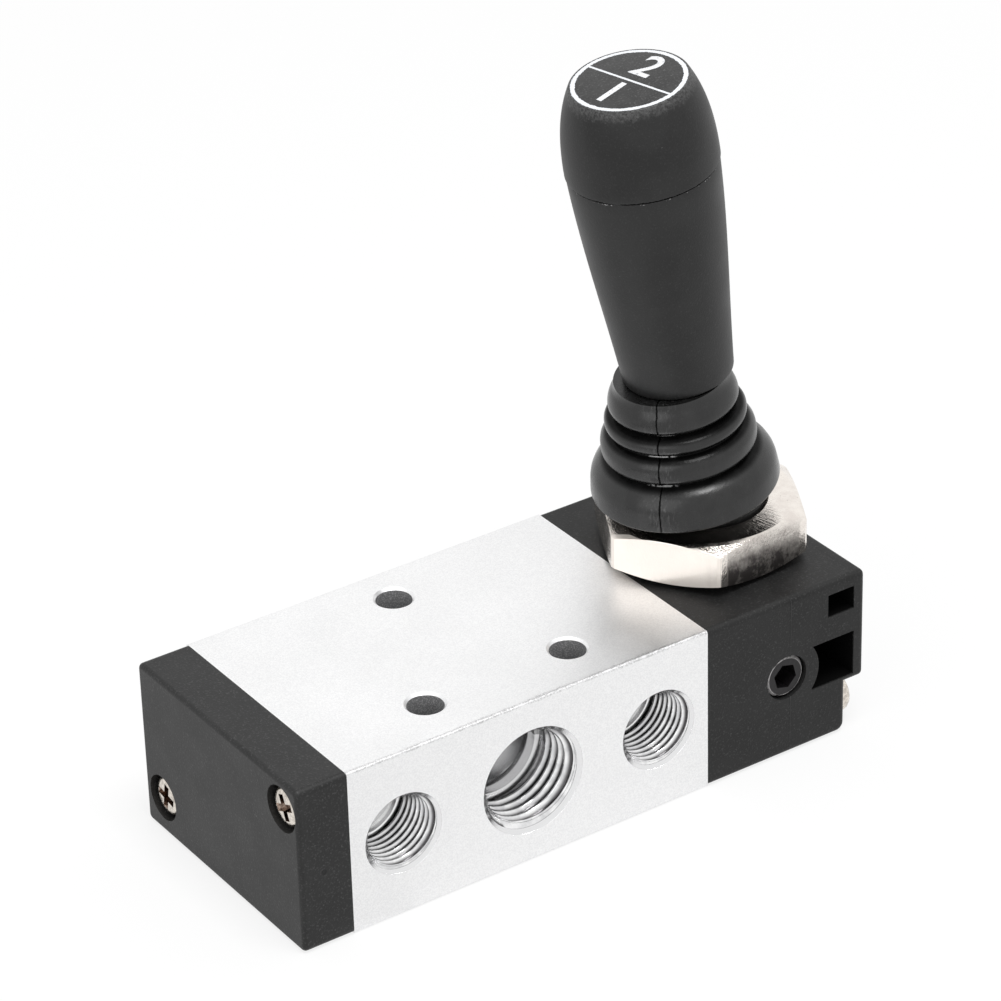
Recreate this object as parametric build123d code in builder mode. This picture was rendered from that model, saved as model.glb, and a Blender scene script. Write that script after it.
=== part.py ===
from build123d import *
from math import cos, radians, sin, sqrt, tan
import os

# Hand lever air valve, 5 ports and 2 positions, with a detent.
# Frame: origin on the bottom face below the middle port, +X towards the lever housing,
# +Y towards the two outlet ports, +Z up. All sizes are in millimetres and degrees.

# Driving sizes of the three blocks
body_length = 51.0
body_width = 35.0
body_height = 22.0
body_edge_radius = 1.3
cap_thickness = 6.8
cap_corner_radius = 0.8
cap_edge_radius = 0.6
cap_bore_spare = 0.3
housing_length = 24.0
housing_side_radius = 0.8
housing_end_radius = 1.8

# Ports: pipe threads in the front face (supply and exhausts) and the back face (outlets)
large_port_radius = 6.58
large_port_chamfer = 0.5
small_port_radius = 4.86
small_port_chamfer = 0.42
thread_depth = 7.6
thread_relief = 1.1
large_relief_radius = 5.75
small_relief_radius = 4.3
large_passage_radius = 4.4
small_passage_radius = 3.2
exhaust_spacing = 18.2
outlet_spacing = 10.5

# Holes that fasten the valve to a plate or a manifold
mount_hole_radius = 2.25
mount_hole_chamfer = 0.3
front_hole_spacing = 10.1
front_hole_inset = 7.0
back_hole_inset = 6.1

# Spool bore and the ring chambers that the ports open into
bore_radius = 6.5
chamber_radius = 7.4
chamber_width = 3.2
chamber_pitch = 9.1
bore_skin = 0.5

# Spool and its seals
spool_core_radius = 4.0
spool_land_radius = 6.2
spool_land_width = 3.4
spool_left_reach = 23.4
seal_section_radius = 0.72
spool_groove_width = 1.6
running_gap = 0.04
fit_gap = 0.02

# Spool guide, a bush in the mouth of the housing that also stops the spool
guide_radius = 7.3
guide_length = 2.6
guide_inset = 1.2
spool_stop_gap = 0.2
end_seal_inset = 0.8
tail_radius = 4.0
tail_beyond_pivot = 6.4
tail_slot_floor_gap = 0.2

# Face seals between the blocks
face_seal_radius = 8.6
face_seal_section = 0.5
face_groove_width = 1.3

# Lever housing
pivot_offset = 12.0
pivot_height = 25.0
cavity_radius = 5.6
cavity_end_wall = 4.2
neck_radius = 8.0
neck_rise = 7.3
neck_bore_radius = 4.9
neck_tip_chamfer = 0.5
sleeve_radius = 6.4
sleeve_rise = 4.0
sleeve_mouth_radius = 5.7
sleeve_mouth_depth = 2.2
pad_radius = 10.1
pad_rise = 0.5
step_depth = 2.8
step_height = 6.9
step_corner_radius = 1.2
pocket_depth = 9.6
pocket_start = 3.9
pocket_end = 10.3
pocket_bottom = 7.75
pocket_top = 13.9
pocket_arc_radius = 4.9
window_start = 6.25
window_end = 10.25
window_bottom = 17.2
window_top = 20.3

# Panel nut
nut_across_flats = 24.0
nut_corner_radius = 13.7
nut_thickness = 6.0
nut_turn = 3.0
nut_face_radius = 11.7
nut_chamfer_angle = 25.0
nut_mouth_chamfer = 0.4

# Detents: set screw, spring and ball on both sides of the spool tail
set_screw_radius = 2.95
set_screw_length = 5.2
set_screw_inset = 0.35
set_screw_socket = 3.0
set_screw_socket_depth = 2.4
set_screw_turn = 15.0
set_screw_chamfer = 0.45
detent_hole_radius = 2.1
detent_ball_radius = 2.0
detent_ball_gap = 0.05
detent_notch_depth = 0.3
spring_radius = 1.45
spring_wire_radius = 0.25
spring_turns = 4

# Lever
lever_lean = 9.2
lever_arm = 14.0
lever_ball_radius = 2.5
lever_arm_radius = 1.55
lever_hub_radius = 4.2
lever_rod_radius = 3.0
lever_rod_chamfer = 0.6
pivot_pin_radius = 1.5
pivot_pin_inset = 0.6
pivot_pin_chamfer = 0.3

# Grip, measured from the pivot along the lever
grip_bottom = 22.6
grip_bottom_radius = 6.85
grip_edge_radius = 0.35
grip_waist = 34.4
grip_waist_radius = 7.9
grip_belly = 43.2
grip_belly_radius = 8.66
grip_split = 50.1
grip_split_radius = 9.08
split_lip = 0.12
knob_shoulder = 57.2
knob_shoulder_radius = 8.66
knob_top = 62.4
knob_top_radius = 7.2
rod_end_spare = 2.1
spigot_radius = 5.0
spigot_length = 4.0
disc_radius = 6.9
disc_thickness = 0.6

# Boot, a bellows that hangs from the lever with its own smaller lean
boot_rim_rise = 6.8
boot_sag = 1.0
boot_lean = 6.5
boot_rim_radius = 11.4
boot_rim_edge = 0.3
boot_wall = 1.5
boot_skirt_height = 3.8
boot_shelf_height = 5.6
boot_shelf_round = 1.1
boot_ring_radius_low = 9.85
boot_ring_height_low = 2.9
boot_ring_radius_high = 8.65
boot_ring_height_high = 2.5
boot_groove_depth = 1.0
boot_groove_gap = 0.3
boot_collar_radius = 7.65
boot_collar_height = 3.6
boot_shoulder_height = 1.8

# Cross recess screws
screw_radius = 1.5
screw_head_radius = 2.7
screw_head_height = 1.7
screw_head_round = 0.9
screw_hole_gap = 0.2
screw_grip_length = 8.0
screw_recess_radius = 2.95
screw_recess_depth = 2.3
cap_screw_top_inset = 3.8
cap_screw_low = 4.9
cap_screw_front_inset = 3.4
cap_screw_back_inset = 4.0
housing_screw_inset = 3.6
housing_screw_height = 3.5

# Places worked out from the sizes
axis_height = body_height / 2
body_end = body_length / 2
housing_end = body_end + housing_length
cap_end = -body_end - cap_thickness
front_face = -body_width / 2
back_face = body_width / 2
pivot_x = body_end + pivot_offset
neck_top = body_height + neck_rise
sleeve_top = neck_top + sleeve_rise
pivot = Vector(pivot_x, 0, pivot_height)
lever_direction = Vector(-sin(radians(lever_lean)), 0, cos(radians(lever_lean)))
lever_across = Vector(cos(radians(lever_lean)), 0, sin(radians(lever_lean)))
ball_shift = lever_arm * sin(radians(lever_lean))
spool_stroke = 2 * ball_shift
lever_rod_reach = grip_split - spigot_length - rod_end_spare
tail_slot_x = pivot_x + ball_shift


def lean_plane(origin, lean):
    """Upright plane through a leaning axis: local X goes across, local Y up along the axis."""
    return Plane(origin=origin, x_dir=(cos(radians(lean)), 0, sin(radians(lean))), z_dir=(0, -1, 0))


def lean_axis(origin, lean):
    """The leaning axis itself."""
    return Axis(origin, (-sin(radians(lean)), 0, cos(radians(lean))))


def save(part, label):
    """Name a finished piece and write it as one file."""
    part.label = label
    export_step(part, "parts/" + label + ".step")


os.makedirs("parts", exist_ok=True)

spool_axis = Axis((0, 0, axis_height), (1, 0, 0))
spool_plane = Plane(origin=(0, 0, axis_height), x_dir=(1, 0, 0), z_dir=(0, -1, 0))
lever_plane = lean_plane(pivot, lever_lean)
lever_axis = lean_axis(pivot, lever_lean)

# Screw places: the cap's are on a diagonal, the housing's are both low
cap_screws = [
    (front_face + cap_screw_front_inset, body_height - cap_screw_top_inset),
    (back_face - cap_screw_back_inset, cap_screw_low),
]
housing_screws = [
    (front_face + housing_screw_inset, housing_screw_height),
    (back_face - housing_screw_inset, housing_screw_height),
]

# Ports: place along the body, side (-1 front, 1 back), radii and mouth chamfer
large_port = (large_port_radius, large_port_chamfer, large_relief_radius, large_passage_radius)
small_port = (small_port_radius, small_port_chamfer, small_relief_radius, small_passage_radius)
ports = [
    (0.0, -1, large_port),
    (-exhaust_spacing, -1, small_port),
    (exhaust_spacing, -1, small_port),
    (-outlet_spacing, 1, large_port),
    (outlet_spacing, 1, large_port),
]
mount_holes = [
    (-front_hole_spacing, front_face + front_hole_inset),
    (front_hole_spacing, front_face + front_hole_inset),
    (0.0, back_face - back_hole_inset),
]

# Valve body: an aluminium bar with the spool bore, ring chambers, ports and screw holes
with BuildPart() as valve_body:
    with BuildSketch(Plane.YZ.offset(-body_end)):
        with Locations((0, axis_height)):
            RectangleRounded(body_width, body_height, body_edge_radius)
    extrude(amount=body_length)
    with BuildSketch(spool_plane):
        with BuildLine():
            Polyline(
                (-body_end, 0),
                (-body_end, bore_radius),
                (body_end, bore_radius),
                (body_end, 0),
                (-body_end, 0),
            )
        make_face()
        for place in range(-2, 3):
            with Locations((place * chamber_pitch, chamber_radius / 2)):
                Rectangle(chamber_width, chamber_radius)
    revolve(axis=spool_axis, mode=Mode.SUBTRACT)
    for place, side, (wall, chamfer_size, relief, passage) in ports:
        mouth = Plane(origin=(place, side * back_face, axis_height), x_dir=(1, 0, 0), z_dir=(0, 0, -side))
        bottom = thread_depth + thread_relief
        with BuildSketch(mouth):
            with BuildLine():
                Polyline(
                    (0, 0),
                    (wall + chamfer_size, 0),
                    (wall, chamfer_size),
                    (wall, thread_depth),
                    (relief, thread_depth + (wall - relief) / 2),
                    (relief, bottom),
                    (passage, bottom),
                    (passage, back_face - bore_radius - bore_skin),
                    (0, back_face - bore_radius - bore_skin),
                    (0, 0),
                )
            make_face()
        revolve(axis=Axis(mouth.origin, (0, -side, 0)), mode=Mode.SUBTRACT)
    with BuildSketch(Plane.XY):
        with Locations(*mount_holes):
            Circle(mount_hole_radius)
    extrude(amount=body_height, mode=Mode.SUBTRACT)
    hole_edges = valve_body.edges().filter_by(GeomType.CIRCLE)
    hole_edges = hole_edges.filter_by(lambda edge: abs(edge.radius - mount_hole_radius) < 0.001)
    chamfer(hole_edges, mount_hole_chamfer)
    with BuildSketch(Plane.YZ.offset(-body_end)):
        with Locations(*cap_screws):
            Circle(screw_radius)
    extrude(amount=screw_grip_length, mode=Mode.SUBTRACT)
    with BuildSketch(Plane.YZ.offset(body_end)):
        with Locations(*housing_screws):
            Circle(screw_radius)
    extrude(amount=-screw_grip_length, mode=Mode.SUBTRACT)
save(valve_body.part, "valve_body")

# End cap: moulded block that closes the bore, with two sunk screws and a seal groove
with BuildPart() as end_cap:
    with BuildSketch(Plane.YZ.offset(cap_end)):
        with Locations((0, axis_height)):
            RectangleRounded(body_width, body_height, cap_corner_radius)
    extrude(amount=cap_thickness)
    fillet(end_cap.faces().sort_by(Axis.X)[0].edges(), cap_edge_radius)
    with BuildSketch(Plane.YZ.offset(-body_end)):
        with Locations((0, axis_height)):
            Circle(bore_radius)
    extrude(amount=-(spool_stroke + cap_bore_spare), mode=Mode.SUBTRACT)
    with BuildSketch(Plane.YZ.offset(-body_end)):
        with Locations((0, axis_height)):
            Circle(face_seal_radius + face_groove_width / 2)
            Circle(face_seal_radius - face_groove_width / 2, mode=Mode.SUBTRACT)
    extrude(amount=-(2 * face_seal_section + fit_gap), mode=Mode.SUBTRACT)
    with BuildSketch(Plane.YZ.offset(cap_end)):
        with Locations(*cap_screws):
            Circle(screw_radius + screw_hole_gap)
    extrude(amount=cap_thickness, mode=Mode.SUBTRACT)
    with BuildSketch(Plane.YZ.offset(cap_end)):
        with Locations(*cap_screws):
            Circle(screw_recess_radius)
    extrude(amount=screw_recess_depth, mode=Mode.SUBTRACT)
save(end_cap.part, "end_cap")

# Lever housing: moulded block with a threaded neck, open to the body and to the lever
detent_mouth = set_screw_inset + set_screw_length
guide_end = body_end + guide_inset + guide_length
with BuildPart() as lever_housing:
    with BuildSketch(Plane.XZ.offset(-back_face)):
        with BuildLine():
            FilletPolyline(
                (body_end, 0),
                (housing_end - step_depth, 0),
                (housing_end - step_depth, step_height),
                (housing_end, step_height),
                (housing_end, body_height),
                (body_end, body_height),
                radius=[step_corner_radius, 0, step_corner_radius / 2, housing_end_radius],
            )
            Line((body_end, body_height), (body_end, 0))
        make_face()
    extrude(amount=body_width)
    for side_face in lever_housing.faces().filter_by(Axis.Y):
        joint_edge = side_face.edges().sort_by(Axis.X)[0]
        fillet([edge for edge in side_face.edges() if edge != joint_edge], housing_side_radius)
    with BuildSketch(Plane.XY.offset(body_height)):
        with Locations((pivot_x, 0)):
            Circle(pad_radius)
    extrude(amount=pad_rise)
    with BuildSketch(Plane.XY.offset(body_height)):
        with Locations((pivot_x, 0)):
            Circle(neck_radius)
    extrude(amount=neck_rise)
    neck_tip = lever_housing.faces().sort_by(Axis.Z)[-1].edges()
    chamfer(neck_tip, neck_tip_chamfer)
    with BuildSketch(Plane.XY.offset(neck_top)):
        with Locations((pivot_x, 0)):
            Circle(sleeve_radius)
    extrude(amount=sleeve_rise)
    with BuildSketch(spool_plane):
        with BuildLine():
            Polyline(
                (body_end, 0),
                (body_end, guide_radius + fit_gap),
                (guide_end, guide_radius + fit_gap),
                (guide_end, cavity_radius),
                (housing_end - cavity_end_wall, cavity_radius),
                (housing_end - cavity_end_wall, 0),
                (body_end, 0),
            )
        make_face()
    revolve(axis=spool_axis, mode=Mode.SUBTRACT)
    with BuildSketch(Plane.YZ.offset(body_end)):
        with Locations((0, axis_height)):
            Circle(face_seal_radius + face_groove_width / 2)
            Circle(face_seal_radius - face_groove_width / 2, mode=Mode.SUBTRACT)
    extrude(amount=2 * face_seal_section + fit_gap, mode=Mode.SUBTRACT)
    neck_profile = Plane(origin=(pivot_x, 0, 0), x_dir=(1, 0, 0), z_dir=(0, -1, 0))
    with BuildSketch(neck_profile):
        with BuildLine():
            Polyline(
                (0, axis_height),
                (neck_bore_radius, axis_height),
                (neck_bore_radius, sleeve_top - sleeve_mouth_depth),
                (sleeve_mouth_radius, sleeve_top),
                (0, sleeve_top),
                (0, axis_height),
            )
        make_face()
    revolve(axis=Axis((pivot_x, 0, 0), (0, 0, 1)), mode=Mode.SUBTRACT)
    with BuildSketch(Plane.XZ.offset(-neck_radius)):
        with Locations((pivot_x, pivot_height)):
            Circle(pivot_pin_radius + fit_gap)
    extrude(amount=2 * neck_radius, mode=Mode.SUBTRACT)
    for side in (-1, 1):
        side_plane = Plane(origin=(pivot_x, side * back_face, 0), x_dir=(1, 0, 0), z_dir=(0, -side, 0))
        with BuildSketch(side_plane):
            with Locations((0, side * axis_height)):
                Circle(set_screw_radius + fit_gap)
        extrude(amount=detent_mouth, mode=Mode.SUBTRACT)
        with BuildSketch(side_plane):
            with Locations((0, side * axis_height)):
                Circle(detent_hole_radius)
        extrude(amount=back_face, mode=Mode.SUBTRACT)
        with BuildSketch(side_plane):
            pocket_height = pocket_top - pocket_bottom
            pocket_middle = (pocket_top + pocket_bottom) / 2
            with Locations(((pocket_start + pocket_end) / 2, side * pocket_middle)):
                Rectangle(pocket_end - pocket_start, pocket_height)
            with Locations((0, side * axis_height)):
                Circle(pocket_arc_radius, mode=Mode.SUBTRACT)
            window_middle = (window_top + window_bottom) / 2
            with Locations(((window_start + window_end) / 2, side * window_middle)):
                Rectangle(window_end - window_start, window_top - window_bottom)
        extrude(amount=pocket_depth, mode=Mode.SUBTRACT)
    with BuildSketch(Plane.YZ.offset(body_end)):
        with Locations(*housing_screws):
            Circle(screw_radius + screw_hole_gap)
    extrude(amount=housing_length, mode=Mode.SUBTRACT)
save(lever_housing.part, "lever_housing")

# Face seals: one O-ring in the cap's groove and one in the housing's groove
seal_seats = [
    ("end_cap_seal", -body_end - face_seal_section - fit_gap / 2),
    ("housing_seal", body_end + face_seal_section + fit_gap / 2),
]
for label, place in seal_seats:
    with BuildPart() as face_seal:
        with BuildSketch(spool_plane):
            with Locations((place, face_seal_radius)):
                Circle(face_seal_section)
        revolve(axis=spool_axis)
    save(face_seal.part, label)


def pan_screws(places, seat, toward, clamped):
    """Pan head screws along X: each head rests on its seat and the shank runs towards the body."""
    with BuildPart() as screws:
        for y, z in places:
            head = Plane(origin=(seat, y, z), x_dir=(0, 1, 0), z_dir=(-toward, 0, 0))
            with BuildSketch(head):
                Circle(screw_head_radius)
            extrude(amount=screw_head_height)
            fillet(screws.faces().sort_by(Axis.X, reverse=toward < 0)[0].edges(), screw_head_round)
            with BuildSketch(head):
                Circle(screw_radius - fit_gap)
            extrude(amount=-(clamped + screw_grip_length - fit_gap))
    return screws.part


cap_seat = cap_end + screw_recess_depth
housing_seat = housing_end - step_depth
save(pan_screws(cap_screws, cap_seat, 1, cap_thickness - screw_recess_depth), "end_cap_screws")
save(pan_screws(housing_screws, housing_seat, -1, housing_length - step_depth), "housing_screws")

# Spool: lands with seal grooves on a core, and a tail that the lever's ball drives
land_middle = chamber_pitch / 2
seal_places = [
    -3 * land_middle,
    spool_stroke - land_middle,
    land_middle,
    3 * land_middle + spool_stroke,
    body_end - end_seal_inset,
]
seal_ring_radius = bore_radius - running_gap - seal_section_radius
groove_floor = seal_ring_radius - seal_section_radius - fit_gap
tail_end = pivot_x + tail_beyond_pivot
spool_end = guide_end - guide_length - spool_stop_gap
with BuildPart() as spool:
    with BuildSketch(spool_plane):
        with Locations(((spool_end - spool_left_reach) / 2, spool_core_radius / 2)):
            Rectangle(spool_end + spool_left_reach, spool_core_radius)
        for place in seal_places:
            with Locations((place, spool_land_radius / 2)):
                Rectangle(spool_land_width, spool_land_radius)
        with Locations((spool_end + spool_land_width, spool_land_radius)):
            Rectangle(2 * spool_land_width, 2 * spool_land_radius, mode=Mode.SUBTRACT)
        for place in seal_places:
            with Locations((place, groove_floor + spool_land_radius / 2)):
                Rectangle(spool_groove_width, spool_land_radius, mode=Mode.SUBTRACT)
        with Locations(((spool_end + tail_end) / 2, tail_radius / 2)):
            Rectangle(tail_end - spool_end, tail_radius)
        for place in (pivot_x, pivot_x + spool_stroke):
            with Locations((place, tail_radius)):
                Rectangle(2 * detent_notch_depth, 2 * detent_notch_depth, rotation=45, mode=Mode.SUBTRACT)
    revolve(axis=spool_axis)
    with BuildSketch(Plane.XY.offset(axis_height - lever_ball_radius - tail_slot_floor_gap)):
        with Locations((tail_slot_x, 0)):
            Circle(lever_ball_radius + running_gap)
    extrude(amount=body_height, mode=Mode.SUBTRACT)
save(spool.part, "spool")

with BuildPart() as spool_seals:
    with BuildSketch(spool_plane):
        for place in seal_places:
            with Locations((place, seal_ring_radius)):
                Circle(seal_section_radius)
    revolve(axis=spool_axis)
save(spool_seals.part, "spool_seals")

# Spool guide: a bush in the housing mouth that carries the tail
with BuildPart() as spool_guide:
    with BuildSketch(Plane.YZ.offset(guide_end - guide_length)):
        with Locations((0, axis_height)):
            Circle(guide_radius)
            Circle(tail_radius + running_gap, mode=Mode.SUBTRACT)
    extrude(amount=guide_length)
save(spool_guide.part, "spool_guide")

# Panel nut: hexagon with both faces chamfered round, on the pad
nut_bottom = body_height + pad_rise
nut_bevel = (nut_corner_radius - nut_face_radius) * tan(radians(nut_chamfer_angle))
nut_axis = Axis((pivot_x, 0, 0), (0, 0, 1))
with BuildPart() as panel_nut:
    with BuildSketch(Plane.XY.offset(nut_bottom)):
        with Locations((pivot_x, 0)):
            RegularPolygon(nut_across_flats / 2, 6, major_radius=False, rotation=nut_turn)
            Circle(neck_radius + fit_gap, mode=Mode.SUBTRACT)
    extrude(amount=nut_thickness)
    with BuildSketch(Plane(origin=(pivot_x, 0, nut_bottom), x_dir=(1, 0, 0), z_dir=(0, -1, 0))):
        with BuildLine():
            Polyline(
                (0, 0),
                (nut_face_radius, 0),
                (nut_corner_radius, nut_bevel),
                (nut_corner_radius, nut_thickness - nut_bevel),
                (nut_face_radius, nut_thickness),
                (0, nut_thickness),
                (0, 0),
            )
        make_face()
    revolve(axis=nut_axis, mode=Mode.INTERSECT)
    bore_edges = panel_nut.edges().filter_by(GeomType.CIRCLE).sort_by(lambda edge: edge.radius)[:2]
    chamfer(bore_edges, nut_mouth_chamfer)
save(panel_nut.part, "panel_nut")

# Pivot pin, pressed across the neck
pin_length = 2 * (neck_radius - pivot_pin_inset)
with BuildPart() as pivot_pin:
    with BuildSketch(Plane.XZ.offset(-pin_length / 2)):
        with Locations((pivot_x, pivot_height)):
            Circle(pivot_pin_radius)
    extrude(amount=pin_length)
    chamfer(pivot_pin.edges().filter_by(GeomType.CIRCLE), pivot_pin_chamfer)
save(pivot_pin.part, "pivot_pin")

# Detents, front and back: set screw with a hexagon socket, spring and ball
ball_centre = tail_radius + detent_ball_gap + detent_ball_radius
spring_start = ball_centre + sqrt((detent_ball_radius + spring_wire_radius) ** 2 - spring_radius**2) + fit_gap
spring_end = back_face - detent_mouth - spring_wire_radius - fit_gap
spring_length = spring_end - spring_start
for label, side in (("front", -1), ("back", 1)):
    screw_plane = Plane(
        origin=(pivot_x, side * (back_face - set_screw_inset), axis_height), x_dir=(1, 0, 0), z_dir=(0, -side, 0)
    )
    with BuildPart() as detent_screw:
        with BuildSketch(screw_plane):
            Circle(set_screw_radius)
        extrude(amount=set_screw_length)
        chamfer(detent_screw.edges().filter_by(GeomType.CIRCLE), set_screw_chamfer)
        with BuildSketch(screw_plane):
            RegularPolygon(set_screw_socket / 2, 6, major_radius=False, rotation=set_screw_turn)
        extrude(amount=set_screw_socket_depth, mode=Mode.SUBTRACT)
    save(detent_screw.part, "detent_screw_" + label)

    with BuildPart() as detent_ball:
        with Locations((pivot_x, side * ball_centre, axis_height)):
            Sphere(detent_ball_radius)
    save(detent_ball.part, "detent_ball_" + label)

    with BuildPart() as detent_spring:
        with BuildLine():
            coil = Helix(
                pitch=spring_length / spring_turns,
                height=spring_length,
                radius=spring_radius,
                center=(pivot_x, side * spring_start, axis_height),
                direction=(0, side, 0),
            )
        with BuildSketch(Plane(origin=coil @ 0, z_dir=coil % 0)):
            Circle(spring_wire_radius)
        sweep(is_frenet=True)
    save(detent_spring.part, "detent_spring_" + label)

# Lever rod: ball end, arm, pivot hub and the rod that carries the grip
with BuildPart() as lever_rod:
    with BuildSketch(lever_plane):
        with Locations((0, -lever_arm)):
            Circle(lever_ball_radius)
        Circle(lever_hub_radius)
        with Locations((lever_arm_radius / 2, -lever_arm / 2)):
            Rectangle(lever_arm_radius, lever_arm)
        with Locations((lever_rod_radius / 2, lever_rod_reach / 2)):
            Rectangle(lever_rod_radius, lever_rod_reach)
        with Locations((-lever_hub_radius, 0)):
            Rectangle(2 * lever_hub_radius, 4 * lever_rod_reach, mode=Mode.SUBTRACT)
    revolve(axis=lever_axis)
    chamfer(lever_rod.edges().sort_by(Axis.Z)[-1], lever_rod_chamfer)
    with BuildSketch(Plane.XZ.offset(-lever_hub_radius)):
        with Locations((pivot_x, pivot_height)):
            Circle(pivot_pin_radius + running_gap)
    extrude(amount=2 * lever_hub_radius, mode=Mode.SUBTRACT)
save(lever_rod.part, "lever_rod")

# Grip: tapered handle on the rod, open at the top for the knob's spigot
rod_bore = lever_rod_radius + fit_gap
with BuildPart() as grip:
    with BuildSketch(lever_plane):
        with BuildLine():
            Spline(
                (grip_bottom_radius, grip_bottom),
                (grip_waist_radius, grip_waist),
                (grip_belly_radius, grip_belly),
                (grip_split_radius, grip_split),
            )
            Polyline(
                (grip_split_radius, grip_split),
                (spigot_radius + fit_gap, grip_split),
                (spigot_radius + fit_gap, grip_split - spigot_length - fit_gap),
                (rod_bore, grip_split - spigot_length - fit_gap),
                (rod_bore, grip_bottom),
                (grip_bottom_radius, grip_bottom),
            )
        make_face()
    revolve(axis=lever_axis)
    bottom_edges = grip.edges().filter_by(GeomType.CIRCLE)
    bottom_edges = bottom_edges.filter_by(lambda edge: abs(edge.radius - grip_bottom_radius) < 0.001)
    fillet(bottom_edges, grip_edge_radius)
save(grip.part, "grip")

# Knob: the top of the grip, with a spigot below and a shallow seat for the disc
with BuildPart() as grip_knob:
    with BuildSketch(lever_plane):
        with BuildLine():
            Spline(
                (grip_split_radius + split_lip, grip_split),
                (knob_shoulder_radius, knob_shoulder),
                (knob_top_radius, knob_top),
                tangents=((0, 1), (-1, 1)),
            )
            Polyline(
                (knob_top_radius, knob_top),
                (disc_radius + fit_gap, knob_top),
                (disc_radius + fit_gap, knob_top - disc_thickness),
                (0, knob_top - disc_thickness),
                (0, grip_split - spigot_length),
                (spigot_radius, grip_split - spigot_length),
                (spigot_radius, grip_split),
                (grip_split_radius + split_lip, grip_split),
            )
        make_face()
    revolve(axis=lever_axis)
save(grip_knob.part, "grip_knob")

# Indicator disc, let into the knob
with BuildPart() as indicator_disc:
    with BuildSketch(Plane(origin=pivot + lever_direction * (knob_top - disc_thickness), z_dir=lever_direction)):
        Circle(disc_radius)
    extrude(amount=disc_thickness)
save(indicator_disc.part, "indicator_disc")

# Boot: rubber bellows under the grip, turned about its own leaning axis
rim_centre = pivot + lever_direction * boot_rim_rise - lever_across * boot_sag
boot_plane = lean_plane(rim_centre, boot_lean)
ring_low = boot_shelf_height + boot_ring_height_low
ring_high = ring_low + boot_ring_height_high
collar_top = ring_high + boot_collar_height
boot_top = collar_top + boot_shoulder_height
groove_low = boot_ring_radius_low - boot_groove_depth
groove_high = boot_ring_radius_high - boot_groove_depth
groove_top = boot_collar_radius - boot_groove_depth
with BuildPart() as boot:
    with BuildSketch(boot_plane):
        with BuildLine():
            Polyline(
                (boot_rim_radius - boot_wall, 0),
                (boot_rim_radius - boot_rim_edge, 0),
                (boot_rim_radius, boot_rim_edge),
                (boot_rim_radius, boot_skirt_height),
            )
            RadiusArc(
                (boot_rim_radius, boot_skirt_height),
                (boot_rim_radius - boot_shelf_round, boot_skirt_height + boot_shelf_round),
                -boot_shelf_round,
            )
            Line(
                (boot_rim_radius - boot_shelf_round, boot_skirt_height + boot_shelf_round),
                (groove_low, boot_shelf_height),
            )
            ThreePointArc(
                (groove_low, boot_shelf_height),
                (boot_ring_radius_low, (boot_shelf_height + ring_low - boot_groove_gap) / 2),
                (groove_low, ring_low - boot_groove_gap),
            )
            Line((groove_low, ring_low - boot_groove_gap), (groove_high, ring_low))
            ThreePointArc(
                (groove_high, ring_low),
                (boot_ring_radius_high, (ring_low + ring_high - boot_groove_gap) / 2),
                (groove_high, ring_high - boot_groove_gap),
            )
            Line((groove_high, ring_high - boot_groove_gap), (groove_top, ring_high))
            ThreePointArc(
                (groove_top, ring_high),
                (boot_collar_radius, ring_high + boot_collar_height / 2),
                (boot_collar_radius - boot_groove_depth / 3, collar_top),
            )
            Polyline(
                (boot_collar_radius - boot_groove_depth / 3, collar_top),
                (groove_top, boot_top),
                (0, boot_top),
                (0, ring_high),
                (groove_top - boot_wall, ring_high),
                (groove_high - boot_wall, ring_low),
                (groove_low - boot_wall, boot_shelf_height),
                (boot_rim_radius - boot_wall, boot_skirt_height),
                (boot_rim_radius - boot_wall, 0),
            )
        make_face()
    revolve(axis=lean_axis(rim_centre, boot_lean))
    with BuildSketch(Plane(origin=pivot + lever_direction * grip_bottom, z_dir=lever_direction)):
        Circle(boot_rim_radius)
    extrude(amount=boot_top, mode=Mode.SUBTRACT)
    with BuildSketch(Plane(origin=pivot + lever_direction * boot_rim_rise, z_dir=lever_direction)):
        Circle(rod_bore)
    extrude(amount=grip_bottom, mode=Mode.SUBTRACT)
save(boot.part, "boot")
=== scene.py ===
# %% [markdown]
# # Hand lever air valve
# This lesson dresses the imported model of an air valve. The block, the covers, the lever and the
# inner pieces come from the frame, at their real size in metres. Here they get their finishes, and
# the pieces whose fine shape only shows in a picture are modelled: crisp edges, threads, screw
# heads, the curve of the handle, the bellows and the print.

# %% Load the frame
from math import hypot, pi, radians, tau

import bmesh
import bpy
from mathutils import Matrix, Vector
from mathutils.geometry import interpolate_bezier


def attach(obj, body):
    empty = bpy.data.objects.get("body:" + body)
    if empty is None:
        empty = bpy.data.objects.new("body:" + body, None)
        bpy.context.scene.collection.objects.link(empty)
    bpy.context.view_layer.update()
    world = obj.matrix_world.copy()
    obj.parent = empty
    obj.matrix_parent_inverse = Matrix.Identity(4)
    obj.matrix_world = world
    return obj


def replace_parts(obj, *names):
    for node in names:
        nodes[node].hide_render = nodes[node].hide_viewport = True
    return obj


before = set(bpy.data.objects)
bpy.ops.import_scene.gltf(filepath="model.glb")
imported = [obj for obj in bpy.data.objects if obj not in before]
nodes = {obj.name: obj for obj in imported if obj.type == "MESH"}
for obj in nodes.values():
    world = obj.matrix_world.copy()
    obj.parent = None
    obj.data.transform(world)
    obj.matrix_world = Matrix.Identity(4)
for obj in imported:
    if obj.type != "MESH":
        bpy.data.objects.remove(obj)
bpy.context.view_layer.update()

# %% [markdown]
# ## The places that the pieces share
# The frame's origin lies on the bottom of the block, below its middle port. X runs towards the
# lever and Y towards the back, and Z is up. Drawings of such a part are in millimetres, so the
# sizes are written in millimetres and turned into metres in one place.

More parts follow.
